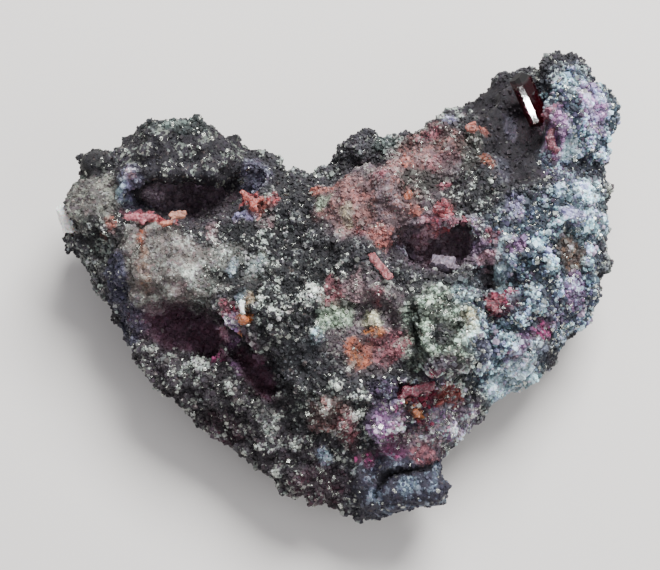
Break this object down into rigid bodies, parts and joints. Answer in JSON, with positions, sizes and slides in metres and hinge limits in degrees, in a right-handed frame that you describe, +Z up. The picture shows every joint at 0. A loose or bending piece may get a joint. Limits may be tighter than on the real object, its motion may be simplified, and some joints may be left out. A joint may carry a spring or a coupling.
{
  "type": "realgar on pyrite mineral specimen",
  "caption": "Hand-sized lump of dark granular pyrite with hollows and ledges, set with red realgar crystals and a little white calcite.",
  "frame": {"origin": "middle of the resting face's level, under the centre of the box round the specimen", "axes": "+X along the specimen's length, towards the lobe with the largest crystal; +Y towards the notch between the two humps; +Z up, out of the crystal-bearing side"},
  "size_m": [0.0902, 0.0744, 0.033],
  "materials": {
    "pyrite": "granular, glinting",
    "realgar": "resinous, dark red",
    "calcite": "white, dull"
  },
  "bodies": {
    "root": {"pyrite_matrix": "pyrite", "realgar_main_crystal": "realgar", "realgar_middle_block": "realgar", "realgar_middle_blade": "realgar", "realgar_ledge_blade_1": "realgar", "realgar_ledge_blade_2": "realgar", "realgar_ledge_cluster": "realgar", "realgar_saddle_cluster": "realgar", "realgar_rim_cluster": "realgar", "realgar_rim_crystal": "realgar", "realgar_flank_cluster": "realgar", "realgar_lobe_cluster": "realgar", "realgar_toe_cluster": "realgar", "realgar_toe_crystal": "realgar", "realgar_patch_crystal": "realgar", "realgar_boss_crystal": "realgar", "calcite_edge": "calcite", "calcite_grain": "calcite"}
  },
  "joints": []
}
